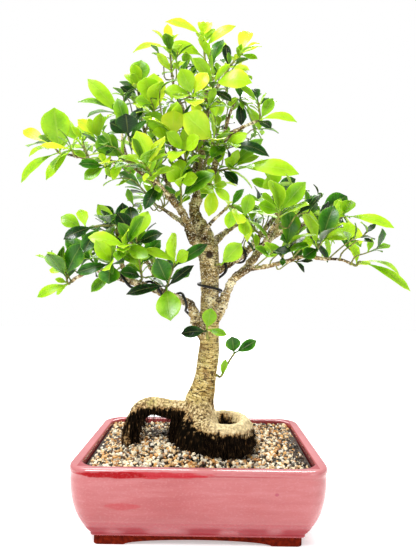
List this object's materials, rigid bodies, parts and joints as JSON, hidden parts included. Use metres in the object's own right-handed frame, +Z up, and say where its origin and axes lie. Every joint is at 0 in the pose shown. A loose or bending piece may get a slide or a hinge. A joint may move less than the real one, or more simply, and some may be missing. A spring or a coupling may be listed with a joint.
{
  "type": "tiger bark ficus bonsai",
  "caption": "Small broad-leaved tree with a ringed trunk, arching and coiled surface roots and a wired branch, growing over gravel in a glazed rounded rectangular pot.",
  "frame": {"origin": "on the ground under the middle of the plant's outer box, which is also the middle of the pot to within about 2 mm", "axes": "+Z up along the trunk, -Y towards the front from which the tree is viewed, +X to the viewer's right along the pot's length"},
  "size_m": [0.4427, 0.2805, 0.6155],
  "materials": {
    "glaze": "gloss",
    "screen_mesh": "matte",
    "gravel": "matte",
    "bark": "matte",
    "wire": "satin",
    "leaf": "satin"
  },
  "bodies": {
    "root": {"pot": "glaze", "drain_screen": "screen_mesh", "gravel": "gravel", "wood": "bark", "training_wire": "wire", "shoot_crown_tip": "leaf", "shoot_crown_left": "leaf", "shoot_crown_right": "leaf", "shoot_crown_front": "leaf", "shoot_crown_near": "leaf", "shoot_back_high_tip": "leaf", "shoot_crown_back": "leaf", "shoot_upper_right_tip": "leaf", "shoot_upper_right_fork": "leaf", "shoot_upper_right_arc": "leaf", "shoot_upper_right_face": "leaf", "shoot_upper_right_long": "leaf", "shoot_upper_right_inner": "leaf", "shoot_upper_left_back": "leaf", "shoot_upper_left_high": "leaf", "shoot_upper_left_round": "leaf", "shoot_upper_left_long": "leaf", "shoot_upper_left_dark": "leaf", "shoot_upper_left_wide": "leaf", "shoot_upper_left_yellow": "leaf", "shoot_back_left_tip": "leaf", "shoot_upper_left_inner": "leaf", "shoot_upper_left_near": "leaf", "shoot_upper_left_heart": "leaf", "shoot_upper_left_low": "leaf", "shoot_far_left_tip": "leaf", "shoot_far_left_front": "leaf", "shoot_far_left_inner": "leaf", "shoot_far_left_back": "leaf", "shoot_low_left_tip": "leaf", "shoot_low_left_high": "leaf", "shoot_low_left_bright": "leaf", "shoot_low_left_heart": "leaf", "shoot_low_left_middle": "leaf", "shoot_low_left_stem": "leaf", "shoot_low_left_back_tip": "leaf", "shoot_low_left_back_mid": "leaf", "shoot_low_left_back_low": "leaf", "shoot_trunk_left": "leaf", "shoot_trunk_right": "leaf", "shoot_trunk_leaf": "leaf", "shoot_right_top_tip": "leaf", "shoot_right_yellow": "leaf", "shoot_right_tip": "leaf", "shoot_right_low_tip": "leaf", "shoot_right_low_mid": "leaf", "shoot_right_low_inner": "leaf", "shoot_right_dark": "leaf", "shoot_right_near": "leaf", "shoot_right_back_tip": "leaf", "shoot_right_back_mid": "leaf", "shoot_right_upper_tip": "leaf", "shoot_right_upper_mid": "leaf", "shoot_back_right_tip": "leaf", "shoot_right_thin": "leaf"}
  },
  "joints": []
}
